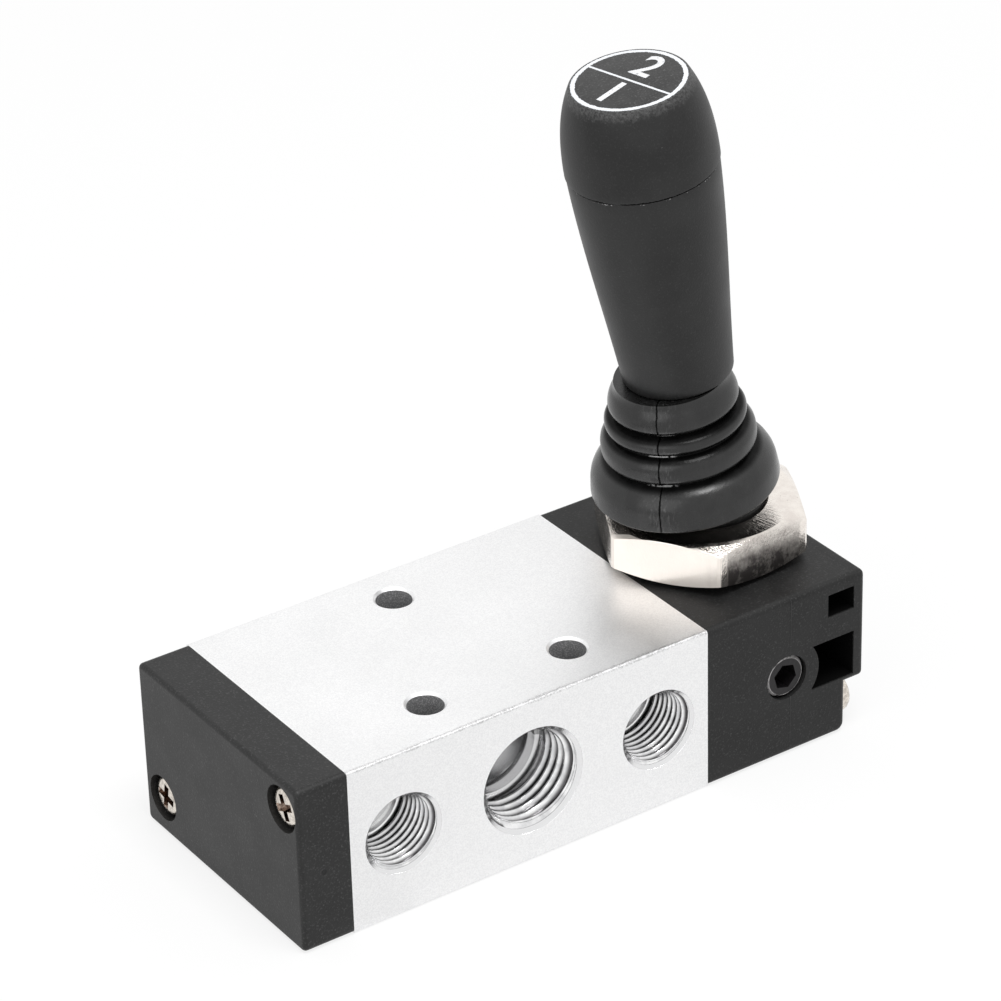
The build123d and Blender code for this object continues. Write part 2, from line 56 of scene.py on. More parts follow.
# %% Sizes of the valve
MM = 0.001
AXIS_HEIGHT = 11.0
FRONT = -17.5
BLOCK_END, BLOCK_TOP, HOUSING_END = 25.5, 22.0, 49.5
LARGE_PORT = {"wall": 6.58, "crest": 5.80, "mouth": 0.5, "pitch": 1.337, "depth": 7.7}
SMALL_PORT = {"wall": 4.86, "crest": 4.34, "mouth": 0.42, "pitch": 0.907, "depth": 7.7}
FRONT_SIDE, BACK_SIDE = -1, 1
PORTS = {
    "middle": (LARGE_PORT, 0.0, FRONT_SIDE),
    "left": (SMALL_PORT, -18.2, FRONT_SIDE),
    "right": (SMALL_PORT, 18.2, FRONT_SIDE),
    "back_left": (LARGE_PORT, -10.5, BACK_SIDE),
    "back_right": (LARGE_PORT, 10.5, BACK_SIDE),
}
MOUNT_HOLES = [(-10.1, -10.5), (10.1, -10.5), (0.0, 11.4)]
MOUNT_RADIUS, MOUNT_CHAMFER = 2.32, 0.32
print("block", 2 * BLOCK_END, "by", -2 * FRONT, "by", BLOCK_TOP, "mm, ports", len(PORTS))

# %% [markdown]
# The lever leans about a pivot inside the neck, and the boot leans a little more than the lever, so
# each has a frame of its own whose Z runs up its axis. A piece is shaped upright in such a frame
# and then moved with one matrix, which is simpler than turning every point of its outline.

# %% Frames of the leaning pieces
PIVOT = Vector((37.5, 0.0, 25.0))
LEVER_LEAN, BOOT_LEAN = radians(9.2), radians(8.0)
BOOT_FOOT = Vector((-0.9, 0.0, 6.8))
GRIP_BOTTOM, GRIP_SPLIT, KNOB_TOP = 22.2, 51.3, 62.4


def leaning(origin, lean):
    """The frame of a leaning axis, in millimetres."""
    return Matrix.Translation(origin) @ Matrix.Rotation(-lean, 4, "Y")


lever_frame = leaning(PIVOT, LEVER_LEAN)
boot_frame = leaning(lever_frame @ BOOT_FOOT, BOOT_LEAN)
print("lever top", [round(v, 2) for v in lever_frame @ Vector((0, 0, KNOB_TOP))])

# %% [markdown]
# ## The camera
# The valve was photographed from its front left, from above, through a long lens. The camera's
# place and angle were solved from the block's corners and the ports.

# %% Set the camera
camera_data = bpy.data.cameras.new("camera")
camera_data.lens = 154.66
camera_data.sensor_width = 36.0
camera_data.shift_x = 0.0030
camera_data.shift_y = -0.0229
camera_data.clip_start = 0.02
camera_data.clip_end = 20.0
camera = bpy.data.objects.new("camera", camera_data)
camera.location = (-0.23658, -0.36424, 0.28972)
camera.rotation_euler = (radians(60.448), radians(1.419), radians(-34.672))
bpy.context.scene.collection.objects.link(camera)
bpy.context.scene.camera = camera
print("camera", [round(v, 3) for v in camera.location])

# %% [markdown]
# ## The floor
# The table is white to the camera and to mirrors, because the photograph's ground is pure white. A
# matt floor alone would come out grey, so white light is mixed in for those rays only. The rest of
# its shading stays, so the valve's shadow still shows on it.

# %% Make the floor
def add(kind, settings=None, inputs=None, tree=None):
    """Add one node. A value that is a socket is linked, and tells which tree the node belongs to."""
    if tree is None:
        linked = [value for value in inputs.values() if isinstance(value, bpy.types.NodeSocket)]
        tree = linked[0].id_data
    made = tree.nodes.new(kind)
    for name, value in (settings or {}).items():
        setattr(made, name, value)
    for name, value in (inputs or {}).items():
        if isinstance(value, bpy.types.NodeSocket):
            tree.links.new(value, made.inputs[name])
        else:
            made.inputs[name].default_value = value
    return made


def grey(level):
    """A neutral colour."""
    return (level, level, level, 1.0)


def room_view(tree):
    """1 for rays from the camera and for mirrored or refracted rays, 0 for rays that only light."""
    path = tree.nodes.new("ShaderNodeLightPath")
    seen = path.outputs["Is Camera Ray"]
    for name in ("Is Glossy Ray", "Is Transmission Ray"):
        larger = tree.nodes.new("ShaderNodeMath")
        larger.operation = "MAXIMUM"
        tree.links.new(seen, larger.inputs[0])
        tree.links.new(path.outputs[name], larger.inputs[1])
        seen = larger.outputs[0]
    return seen


def floor_finish(white_share):
    """Matt pale grey with a share of plain white for what sees it."""
    material = bpy.data.materials.new("pale table")
    material.use_nodes = True
    tree = material.node_tree
    tree.nodes.clear()
    matt = add("ShaderNodeBsdfDiffuse", None, {"Color": grey(0.86)}, tree)
    white = add("ShaderNodeEmission", None, {"Color": grey(1.0), "Strength": 1.0}, tree)
    share = add("ShaderNodeMath", {"operation": "MULTIPLY"}, {0: room_view(tree), 1: white_share})
    mixed = add("ShaderNodeMixShader", None, {0: share.outputs[0], 1: matt.outputs[0], 2: white.outputs[0]})
    add("ShaderNodeOutputMaterial", None, {"Surface": mixed.outputs[0]})
    return material


def make_floor():
    """A large pale table top just under the valve."""
    bm = bmesh.new()
    bmesh.ops.create_grid(bm, x_segments=1, y_segments=1, size=4.0)
    bmesh.ops.translate(bm, verts=bm.verts, vec=(0, 0, -0.1 * MM))
    mesh = bpy.data.meshes.new("floor")
    bm.to_mesh(mesh)
    bm.free()
    mesh.materials.append(floor_finish(0.8))
    floor = bpy.data.objects.new("floor", mesh)
    bpy.context.scene.collection.objects.link(floor)


make_floor()
print("floor", bpy.data.materials["pale table"].name)

# %% [markdown]
# ## The sky and the lamps
# The room is white too, so the sky is an even white for whatever mirrors it, and a little weaker
# where it lights the pieces. A large soft lamp overhead draws the highlights on rubber and plastic,
# and a larger one at the left lifts the sides that face it.

# %% Make the sky and the lamps
def make_sky(lighting):
    """An even white sky that lights the pieces with the given strength."""
    world = bpy.data.worlds.new("white room")
    bpy.context.scene.world = world
    world.use_nodes = True
    tree = world.node_tree
    level = tree.nodes.new("ShaderNodeMapRange")
    tree.links.new(room_view(tree), level.inputs[0])
    level.inputs[3].default_value = lighting
    level.inputs[4].default_value = 1.0
    tree.nodes["Background"].inputs["Color"].default_value = grey(1.0)
    tree.links.new(level.outputs[0], tree.nodes["Background"].inputs["Strength"])


def make_lamp(name, location, target, size, watts):
    """A square soft lamp that looks at a point."""
    data = bpy.data.lights.new(name, "AREA")
    data.shape = "SQUARE"
    data.size = size
    data.energy = watts
    lamp = bpy.data.objects.new(name, data)
    lamp.location = location
    lamp.rotation_euler = (Vector(target) - Vector(location)).to_track_quat("-Z", "Y").to_euler()
    bpy.context.scene.collection.objects.link(lamp)


make_sky(0.68)
make_lamp("overhead lamp", (0.02, -0.20, 0.80), (0.0, 0.0, 0.02), 0.28, 3.8)
make_lamp("side lamp", (-0.75, -0.25, 0.45), (0.0, 0.0, 0.03), 0.7, 1.3)
bpy.context.scene.view_settings.view_transform = "Standard"
print("room", bpy.context.scene.world.name, "lamps", len(bpy.data.lights))

# %% [markdown]
# ## Reading a place on a piece
# Each finish below asks where on the piece a point lies: how far from a hole's axis, how near an
# edge, how high on the lever. Object coordinates give that place in metres and stay with the piece
# when it moves. A net of Math nodes does the arithmetic, and these helpers let it be written as
# short lines.

# %% Helpers that measure
def calc(operation, first, second=0.0):
    """One step of arithmetic on values of the surface."""
    return add("ShaderNodeMath", {"operation": operation}, {0: first, 1: second}).outputs[0]


def minus(first, second):
    """The second value taken from the first."""
    return calc("SUBTRACT", first, second)


def product(*values):
    """Values multiplied. Of masks, this leaves what they share."""
    result = values[0]
    for value in values[1:]:
        result = calc("MULTIPLY", result, value)
    return result


def plus(*values):
    """Values added."""
    result = values[0]
    for value in values[1:]:
        result = calc("ADD", result, value)
    return result


def any_of(masks):
    """The largest of several masks."""
    largest = masks[0]
    for mask in masks[1:]:
        largest = calc("MAXIMUM", largest, mask)
    return largest


def apart(value, middle):
    """How far a value is from a middle value, either way."""
    return calc("ABSOLUTE", minus(value, middle))


def reach(across, up):
    """How far a point is from an axis, from its two distances across the axis."""
    return calc("SQRT", plus(product(across, across), product(up, up)))


def within(value, low, high):
    """1 where a value lies between two others, 0 elsewhere."""
    above = calc("GREATER_THAN", value, low)
    return product(above, calc("LESS_THAN", value, high))


def millimetres(vector):
    """X, Y and Z of a vector in metres, in millimetres."""
    split = add("ShaderNodeSeparateXYZ", None, {0: vector})
    return [calc("MULTIPLY", split.outputs[i], 1000.0) for i in range(3)]


def own_place(material):
    """The point on the surface as a vector, in metres."""
    return add("ShaderNodeTexCoord", tree=material.node_tree).outputs["Object"]


def place(material):
    """The point on the surface, as a vector in metres and as X, Y and Z in millimetres."""
    own = own_place(material)
    return own, millimetres(own)


def on_leaning_axis(own, origin, lean):
    """The point as seen in the frame of a leaning axis, in metres."""
    turned_back = add("ShaderNodeMapping", {"vector_type": "TEXTURE"}, {
        "Vector": own, "Location": origin * MM, "Rotation": (0.0, -lean, 0.0)})
    return turned_back.outputs[0]


print("helpers that measure are ready")

# %% [markdown]
# ## Mixing a finish
# A finish starts as one Principled shader with plain values, and what varies over the surface is
# linked to it afterwards. Noise of the right lump size stands for grain, cloudiness and wear, and
# a bump turns a pattern into relief that is too fine to model.

# %% Helpers that mix
def finish(name, colour, metallic, roughness):
    """A material with its shader, set to plain values."""
    material = bpy.data.materials.new(name)
    material.use_nodes = True
    shader = material.node_tree.nodes["Principled BSDF"]
    shader.inputs["Base Color"].default_value = (*colour, 1.0)
    shader.inputs["Metallic"].default_value = metallic
    shader.inputs["Roughness"].default_value = roughness
    return material, shader


def feed(material, shader, **values):
    """Link values of the surface to the shader's sockets."""
    for name, value in values.items():
        material.node_tree.links.new(value, shader.inputs[name.replace("_", " ")])


def blend(amount, low, high):
    """A colour between two colours."""
    made = add("ShaderNodeMix", {"data_type": "RGBA"}, {0: amount, 6: low, 7: high})
    return made.outputs[2]


def between(value, start, end, low=0.0, high=1.0):
    """Carry a value from one range to another, held at both ends."""
    made = add("ShaderNodeMapRange", {"interpolation_type": "SMOOTHSTEP"},
               {0: value, 1: start, 2: end, 3: low, 4: high})
    return made.outputs[0]


def grain(where, size, detail=2.0, roughness=0.5, stretch=(1, 1, 1)):
    """Cloudy noise whose lumps are about the given size in millimetres."""
    scaled = add("ShaderNodeMapping", None, {"Vector": where, "Scale": stretch})
    made = add("ShaderNodeTexNoise", None, {
        "Vector": scaled.outputs[0], "Scale": 1 / (size * MM), "Detail": detail, "Roughness": roughness})
    return made.outputs["Fac"]


def bump(height, depth, before=None):
    """Turn a height pattern into relief. The depth is in millimetres."""
    inputs = {"Height": height, "Strength": 1.0, "Distance": depth * MM}
    if before is not None:
        inputs["Normal"] = before
    return add("ShaderNodeBump", None, inputs).outputs[0]


def dress(node, material):
    """Give a CAD node a finish in its material slots."""
    for slot in nodes[node].material_slots:
        slot.link = "OBJECT"
        slot.material = material


print("helpers that mix are ready")

# %% [markdown]
# ## Blasted and anodised aluminium
# The block is cut from a drawn bar, blasted with fine beads and anodised clear, so it is silvery
# white with a fine even sparkle, and its top front edge is rubbed darker. Its holes are cut
# afterwards, so their walls keep the bright lines of the tool. Both surfaces are on one CAD node,
# so one material asks how far the point is from the nearest axis and changes there.

# %% Where the holes are
def near_axis(across, centre, radius):
    """1 inside a cylinder about an axis, 0 outside. Across holds the two distances across it."""
    sides = [minus(value, middle) for value, middle in zip(across, centre)]
    return calc("LESS_THAN", reach(*sides), radius)


def port_walls(x, y, z):
    """1 on the walls of the ports, which lie behind the faces of the block."""
    masks = []
    for size, centre, side in PORTS.values():
        near = near_axis((x, z), (centre, AXIS_HEIGHT), size["wall"] + size["mouth"] + 0.02)
        on_side = calc("GREATER_THAN", product(y, float(side)), 0.0)
        masks.append(product(near, on_side))
    behind = calc("LESS_THAN", calc("ABSOLUTE", y), -FRONT - 0.01)
    return product(any_of(masks), behind)


def hole_walls(x, y, z):
    """1 on the walls of the mounting holes, below their chamfers."""
    holes = any_of([near_axis((x, y), centre, MOUNT_RADIUS) for centre in MOUNT_HOLES])
    return product(holes, calc("LESS_THAN", z, BLOCK_TOP - MOUNT_CHAMFER))


print("holes", len(PORTS), "threaded and", len(MOUNT_HOLES), "for mounting")

# %% [markdown]
# The masks choose between three looks: blasted metal outside, bright turned metal in the ports,
# painted darker deep down as shade and with bright bands painted as thread highlights in the small
# ports, and a dull grey painted as shade in the drilled mounting holes, where hardly any of the room
# is mirrored.

# %% Finish of the block
def rubbed_edge(own, y, z):
    """A ragged dark line along the top front edge, broken up by fine noise."""
    from_edge = plus(product(minus(BLOCK_TOP, z), 1.8),
                     minus(y, FRONT),
                     product(grain(own, 2.5, 4.0, 0.7), 1.1))
    broken = between(grain(own, 0.22, 3.0, 0.8), 0.36, 0.6)
    return product(between(from_edge, 1.25, 0.8), broken, 0.7)


def bored_metal(x, y):
    """Bright turned metal, painted darker deep down as shade, with bright bands painted in the small ports
    past the ridge as the highlights of their thread's crests.
    """
    depth = calc("ABSOLUTE", y)
    # Painted shade: the wall is darker deeper in the port.
    metal = blend(between(depth, 13.5, 9.0), (0.78, 0.78, 0.785, 1), (0.66, 0.66, 0.665, 1))
    wave = calc("SINE", product(y, tau / SMALL_PORT["pitch"]))
    in_small_port = calc("GREATER_THAN", calc("ABSOLUTE", x), 12.0)
    # Painted highlights: bright bands where the small ports' thread crests would catch light.
    rings = product(between(wave, -0.3, 0.7), in_small_port, between(depth, 10.0, 9.9))
    return blend(rings, metal, grey(0.9))


def block_finish():
    """Blasted outside, turned inside the ports, and drilled inside the mounting holes, whose walls are
    painted dull grey as shade.
    """
    material, shader = finish("blasted aluminium", (0.9, 0.9, 0.9), 1.0, 0.4)
    own, (x, y, z) = place(material)
    turned = port_walls(x, y, z)
    drilled = hole_walls(x, y, z)
    sparkle = grain(own, 0.16, 2.0, 0.6)
    colour = blend(between(sparkle, 0.3, 0.72), (0.82, 0.82, 0.825, 1), grey(0.93))
    colour = blend(rubbed_edge(own, y, z), colour, grey(0.34))
    colour = blend(turned, colour, bored_metal(x, y))
    # Painted shade: the mounting holes' walls are a dull grey that is not metallic.
    wall = blend(between(sparkle, 0.45, 0.75), (0.20, 0.20, 0.205, 1), grey(0.5))
    colour = blend(drilled, colour, wall)
    rough = between(grain(own, 9.0, 3.0), 0.3, 0.7, 0.40, 0.48)
    beads = product(sparkle, minus(1.0, turned))
    feed(material, shader, Base_Color=colour, Normal=bump(beads, 0.012),
         Roughness=between(turned, 0.0, 1.0, rough, 0.16), Metallic=minus(1.0, drilled))
    return material


block_metal = block_finish()
dress("valve_body", block_metal)
print("block finish", len(block_metal.node_tree.nodes), "nodes")

# %% [markdown]
# ## Moulded black plastic
# The covers, the grip and its top are moulded in black glass filled plastic. It is a dark neutral
# grey under a studio lamp, dull, with a very fine grain and a few pale specks of dust. Each piece
# gets its own copy of the finish, because what lies on it differs. The cap has only the small
# dimple that the mould leaves in its front, whose hollow is painted dark as shade.

# %% Finish of the cap
DIMPLE = (-29.2, 10.2)


def moulded(name, shade=0.012, shine=0.34, roughness=0.48, cloud_size=5.0, grit=1.0):
    """Black plastic. Returns what each piece changes: material, shader, colour, relief, roughness."""
    material, shader = finish(name, (shade, shade, shade), 0.0, roughness)
    shader.inputs["Specular IOR Level"].default_value = shine
    own = own_place(material)
    cloud = grain(own, cloud_size, 3.0)
    fine = grain(own, 0.26, 2.0, 0.7)
    speck = between(grain(own, 0.45, 1.0), 0.83, 0.86)
    colour = blend(between(cloud, 0.35, 0.65), grey(shade * 0.75), grey(shade * 1.3))
    colour = blend(between(fine, 0.52, 0.8, 0.0, grit), colour, grey(shade * 4.5))
    colour = blend(speck, colour, grey(0.16))
    rough = between(cloud, 0.3, 0.7, roughness - 0.04, roughness + 0.05)
    relief = bump(fine, 0.02)
    feed(material, shader, Base_Color=colour, Roughness=rough, Normal=relief)
    return material, shader, colour, relief, rough


def cap_finish():
    """Black plastic with a dimple in the front, its hollow painted dark as shade."""
    material, shader, colour, relief = moulded("cap plastic")[:4]
    x, y, z = millimetres(own_place(material))
    along = minus(x, DIMPLE[0])
    up = minus(z, DIMPLE[1])
    dimple = product(between(reach(along, up), 0.55, 0.22), calc("LESS_THAN", y, FRONT + 0.5))
    # Painted shade: the dimple's hollow is darkened.
    colour = blend(product(dimple, 0.8), colour, grey(0.002))
    feed(material, shader, Base_Color=colour, Normal=bump(dimple, -0.1, relief))
    return material


dress("end_cap", cap_finish())
print("cap dressed, dimple at", DIMPLE)

# %% [markdown]
# ## The lever housing's plastic
# The housing is moulded in halves of a tool, which leaves a fine witness line round it, and it is
# cored out from both sides so that its walls cool evenly. Hardly any light comes out of the
# core-outs, so inside their bounds the plastic is painted black and dull as shade.

# %% Finish of the housing
WITNESS_LINE = 38.0
CORE_OUT = {"x": (40.6, 47.85), "y": (7.4, 17.3), "z": (7.7, 20.2)}


def housing_finish():
    """Black plastic with the mould's witness line and core-outs painted black as shade."""
    material, shader, colour, relief, rough = moulded("housing plastic", 0.009, 0.28)
    x, y, z = millimetres(own_place(material))
    outward = calc("ABSOLUTE", y)
    line = product(between(apart(x, WITNESS_LINE), 0.10, 0.03),
                   calc("GREATER_THAN", outward, CORE_OUT["y"][1]))
    # Painted shade: inside the core-outs the plastic is black and dull and hardly reflects.
    sunk = product(within(x, *CORE_OUT["x"]), within(outward, *CORE_OUT["y"]), within(z, *CORE_OUT["z"]))
    feed(material, shader, Base_Color=blend(sunk, colour, grey(0.002)),
         Normal=bump(line, 0.03, relief),
         Roughness=between(sunk, 0.0, 1.0, rough, 0.95),
         Specular_IOR_Level=between(sunk, 0.0, 1.0, 0.28, 0.06))
    return material


housing_plastic = housing_finish()
dress("lever_housing", housing_plastic)
print("housing dressed", housing_plastic.name)

# %% [markdown]
# ## The handle's plastic and its white paint
# The handle is moulded in the same plastic, in two pieces. Their split is a dark ragged line with a
# few pale flecks of flash, and the rim round the top is rubbed grey by hands. The disc in the top
# is printed white with a ring and a line. Paint is a film without thickness, so it is a colour in
# the material, with an edge that noise makes ragged.

# %% Finish of the handle
PRINT_TURN = radians(10.7)
RING_INSIDE, RING_OUTSIDE = 6.3, 6.85
PAINT = (0.74, 0.76, 0.79, 1)


def disc_print(own):
    """White paint on the lever's top: a ragged ring and a line across. 0 where bare."""
    upright = on_leaning_axis(own, PIVOT, LEVER_LEAN)
    straight = add("ShaderNodeMapping", {"vector_type": "TEXTURE"}, {
        "Vector": upright, "Rotation": (0.0, 0.0, PRINT_TURN)})
    x, y, z = millimetres(straight.outputs[0])
    ragged = product(minus(grain(own, 0.5, 4.0, 0.75), 0.5), 0.4)
    out = plus(reach(x, y), ragged)
    ring = product(between(out, RING_INSIDE - 0.03, RING_INSIDE + 0.03),
                   between(out, RING_OUTSIDE + 0.03, RING_OUTSIDE - 0.03))
    from_line = calc("ABSOLUTE", plus(x, product(ragged, 0.15)))
    line = product(between(from_line, 0.18, 0.13), calc("LESS_THAN", out, RING_OUTSIDE))
    worn = between(grain(own, 0.6, 4.0, 0.7), 0.28, 0.36)
    on_top = calc("GREATER_THAN", z, KNOB_TOP - 0.35)
    return product(any_of([ring, line]), worn, on_top)


def split_line(own, up, ragged):
    """The dark gap between the handle's pieces, and pale flecks just under it."""
    wavy = minus(plus(up, product(ragged, 0.3)), GRIP_SPLIT)
    gap = product(between(calc("ABSOLUTE", wavy), 0.13, 0.08), between(grain(own, 3.0, 3.0), 0.36, 0.46))
    flecks = product(between(apart(wavy, -0.16), 0.10, 0.04),
                     between(grain(own, 0.5, 3.0, 0.7), 0.58, 0.66))
    return gap, flecks


def grip_finish(name, painted):
    """Black plastic with the ragged split between grip and top, and a rubbed rim above."""
    material, shader, colour = moulded(name, 0.012, 0.32, 0.45, 7.0, 0.3)[:3]
    own = own_place(material)
    up = millimetres(on_leaning_axis(own, PIVOT, LEVER_LEAN))[2]
    ragged = minus(grain(own, 0.5, 3.0, 0.7), 0.5)
    gap, flecks = split_line(own, up, ragged)
    rim = between(plus(up, product(ragged, 2.2)), KNOB_TOP - 1.5, KNOB_TOP - 0.1)
    rim = product(rim, between(grain(own, 0.3, 3.0, 0.8), 0.3, 0.65), 0.8)
    colour = blend(rim, colour, grey(0.10))
    colour = blend(gap, colour, grey(0.0008))
    colour = blend(flecks, colour, grey(0.30))
    if painted:
        colour = blend(disc_print(own), colour, PAINT)
    feed(material, shader, Base_Color=colour, Specular_IOR_Level=between(gap, 0.0, 1.0, 0.32, 0.02))
    return material


grip_plastic = grip_finish("grip plastic", False)
knob_plastic = grip_finish("knob plastic", True)
print("plastic finishes", len(bpy.data.materials))

# %% [markdown]
# ## The nut's plating
# The panel nut is nickel plated steel: warm and mirror bright. The cutter that faced its top left
# radial marks under the plating, so that noise is stretched round the nut's axis. A patchy dark
# reflection is painted on the low front, stronger towards the foot, and the flat at the left mirrors
# the paper round the set, which a plain white room doesn't give, so it is mixed paler there.

# %% Finish of the nut
NUT_TOP = 28.3
LIT_FLAT_FROM, LIT_FLAT_TO = 11.45, 11.6


def cutter_marks(own, across, y, z):
    """Radial marks on the faced top and fine upright ones on the flats."""
    angle = calc("ARCTAN2", y, across)
    polar = add("ShaderNodeCombineXYZ", None, {0: product(angle, 40.0), 1: product(reach(across, y), 0.5)})
    radial = grain(polar.outputs[0], 1000.0, 3.0, 0.6)
    fine = grain(own, 0.25, 3.0, 0.7, (1.0, 1.0, 0.5))
    return blend(calc("GREATER_THAN", z, NUT_TOP), fine, radial), fine


def painted_dark_reflection(cloud, fine, out, y, z):
    """A patchy painted dark reflection on the front, stronger towards the foot of the nut."""
    low_front = product(between(y, -10.6, -12.1), between(z, 29.0, 23.6, 0.25, 1.0))
    patchy = between(plus(cloud, product(fine, 0.4)), 0.35, 1.0, 1.3, 0.5)
    dark_reflection = calc("MINIMUM", product(low_front, patchy), 0.93)
    return product(dark_reflection, between(out, 13.4, 13.2))


def nut_finish():
    """Nickel plate with radial marks, a painted dark reflection on the front and one flat painted pale as a
    reflection.
    """
    material, shader = finish("nut plating", (0.9, 0.85, 0.8), 1.0, 0.15)
    own, (x, y, z) = place(material)
    across = minus(x, PIVOT.x)
    marks, fine = cutter_marks(own, across, y, z)
    cloud = grain(own, 1.6, 4.0, 0.65)
    dark_reflection = painted_dark_reflection(cloud, fine, reach(across, y), y, z)
    pits = between(grain(own, 0.35, 1.0), 0.77, 0.83)
    left = plus(product(across, -0.857), product(y, -0.515))
    lit_flat = product(between(left, LIT_FLAT_FROM, LIT_FLAT_TO), calc("LESS_THAN", z, NUT_TOP - 0.1))
    colour = blend(between(cloud, 0.3, 0.7), (0.80, 0.74, 0.69, 1), (0.92, 0.87, 0.81, 1))
    # Painted reflection: the low front is darkened in patches, more towards the foot.
    colour = blend(dark_reflection, colour, (0.05, 0.045, 0.045, 1))
    colour = blend(pits, colour, (0.22, 0.18, 0.16, 1))
    colour = blend(product(lit_flat, 0.8), colour, (0.95, 0.88, 0.81, 1))
    feed(material, shader, Base_Color=colour, Normal=bump(marks, 0.035),
         Metallic=between(lit_flat, 0.0, 1.0, 1.0, 0.35),
         Roughness=between(plus(dark_reflection, cloud), 0.3, 1.3, 0.13, 0.34))
    return material


dress("panel_nut", nut_finish())
print("nut dressed")

# %% [markdown]
# ## Screws, set screws and the pieces inside
# The cap and housing screws are plated like the nut, and their recess is painted dark as shade.
# The set screws are blackened steel with a bright edge ring painted on as its highlight. The pieces
# inside are hardly seen, so one helper gives them a plain finish with faint marks, each with the colour of
# its material.

# %% Finish of the small metal and inner pieces
def plated(name, colour_low, colour_high):
    """Nickel plate over cutter marks."""
    material, shader = finish(name, (0.95, 0.91, 0.89), 1.0, 0.15)
    own = own_place(material)
    marks = grain(own, 0.4, 4.0, 0.65)
    uneven = plus(marks, grain(own, 2.5, 3.0))
    pits = between(grain(own, 0.3, 1.0), 0.78, 0.84)
    colour = blend(between(marks, 0.25, 0.75), colour_low, colour_high)
    colour = blend(pits, colour, (0.25, 0.2, 0.18, 1))
    feed(material, shader, Base_Color=colour, Roughness=between(uneven, 0.7, 1.3, 0.10, 0.26),
         Normal=bump(uneven, 0.02))
    return material


def blackened(highlight_radius):
    """Blackened set screw with a bright edge ring painted on as its highlight."""
    material, shader = finish("black oxide", (0.02, 0.019, 0.02), 0.4, 0.35)
    own, (x, y, z) = place(material)
    out = reach(minus(x, PIVOT.x), minus(z, AXIS_HEIGHT))
    # Painted highlight: a bright ragged ring at the set screw's edge.
    worn = product(between(apart(out, highlight_radius), 0.22, 0.08),
                   between(grain(own, 0.8, 3.0), 0.3, 0.55))
    colour = blend(worn, (0.010, 0.009, 0.010, 1), (0.62, 0.60, 0.60, 1))
    feed(material, shader, Base_Color=colour, Normal=bump(grain(own, 0.5, 3.0), 0.03))
    return material


def inner(name, colour, metallic, roughness):
    """Plain finish with fine marks for a piece that is held inside."""
    material, shader = finish(name, colour, metallic, roughness)
    own = own_place(material)
    marks = grain(own, 0.6, 3.0)
    low = tuple(c * 0.8 for c in colour) + (1,)
    high = tuple(min(c * 1.15, 1.0) for c in colour) + (1,)
    feed(material, shader, Base_Color=blend(between(marks, 0.3, 0.7), low, high),
         Roughness=between(marks, 0.3, 0.7, roughness, roughness + 0.1),
         Normal=bump(marks, 0.01))
    return material


# The screw plating's darker end stands partly for marks and partly for painted shade on the heads.
screw_metal = plated("screw plating", (0.42, 0.38, 0.34, 1), (0.86, 0.80, 0.72, 1))
# Painted shade: the cross recess is coloured dark and brownish.
recess_shade_metal = plated("recess shade plating", (0.05, 0.03, 0.022, 1), (0.42, 0.32, 0.26, 1))
finishes = {
    blackened(2.62): ["detent_screw_front", "detent_screw_back"],
    inner("bright steel", (0.55, 0.55, 0.56), 1.0, 0.25): [
        "lever_rod", "pivot_pin", "detent_ball_front", "detent_ball_back",
        "detent_spring_front", "detent_spring_back"],
    inner("spool aluminium", (0.72, 0.72, 0.73), 1.0, 0.3): ["spool"],
    inner("guide plastic", (0.62, 0.6, 0.56), 0.0, 0.45): ["spool_guide"],
    inner("seal rubber", (0.015, 0.015, 0.015), 0.0, 0.5): ["spool_seals", "end_cap_seal", "housing_seal"],
}
for material, dressed in finishes.items():
    for name in dressed:
        dress(name, material)
    print(material.name, "on", dressed)

# %% [markdown]
# ## Finishing a new piece
# A new piece starts as a bmesh, Blender's mesh for editing. Before it becomes an object its doubled
# points are merged and its faces turned outwards, because spin can turn them in. Smooth shading
# with sharp edges above an angle lets a round stretch look round and keeps corners crisp. The piece
# then rides on the body that carries it, so it moves when that body does.

# %% Helpers that finish pieces
def to_metres(frame_mm):
    """The same frame with its origin in metres, for a mesh that is already in metres."""
    moved = frame_mm.copy()
    moved.translation = frame_mm.translation * MM
    return moved


def piece(bm, name, materials, body, sharp=35.0):
    """Finish a bmesh as an object that rides on a CAD body."""
    bmesh.ops.remove_doubles(bm, verts=bm.verts, dist=1e-7)
    bmesh.ops.recalc_face_normals(bm, faces=bm.faces)
    mesh = bpy.data.meshes.new(name)
    bm.to_mesh(mesh)
    open_edges = sum(1 for edge in bm.edges if len(edge.link_faces) != 2)
    bm.free()
    mesh.shade_smooth()
    mesh.set_sharp_from_angle(angle=radians(sharp))
    for material in materials:
        mesh.materials.append(material)
    made = bpy.data.objects.new(name, mesh)
    bpy.context.scene.collection.objects.link(made)
    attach(made, body)
    print(name, "faces", len(mesh.polygons), "open edges", open_edges)
    return made


def join(whole, part, stand=None):
    """Move a part to its stand and add it to the whole."""
    if stand is not None:
        bmesh.ops.transform(part, matrix=to_metres(stand), verts=part.verts)
    mesh = bpy.data.meshes.new("part")
    part.to_mesh(mesh)
    part.free()
    whole.from_mesh(mesh)
    bpy.data.meshes.remove(mesh)


print("helpers that finish pieces are ready")

# %% [markdown]
# ## Crisp edges on the block and the housing
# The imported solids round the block's long edges and the housing's top end edge more than the real
# valve does. A slim bar fills each of those corners: its outer sides lie in the planes of the flat
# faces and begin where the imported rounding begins, and its own edge has the small rounding. The
# housing's bar stays a hair behind its side faces, since two faces in one plane flicker.

# %% Fill out the edges
BLOCK_ROUNDING, HOUSING_ROUNDING = 1.3, 1.75
BLOCK_EDGE, HOUSING_EDGE = 0.35, 0.8
BAR_SIDE = FRONT + 0.01


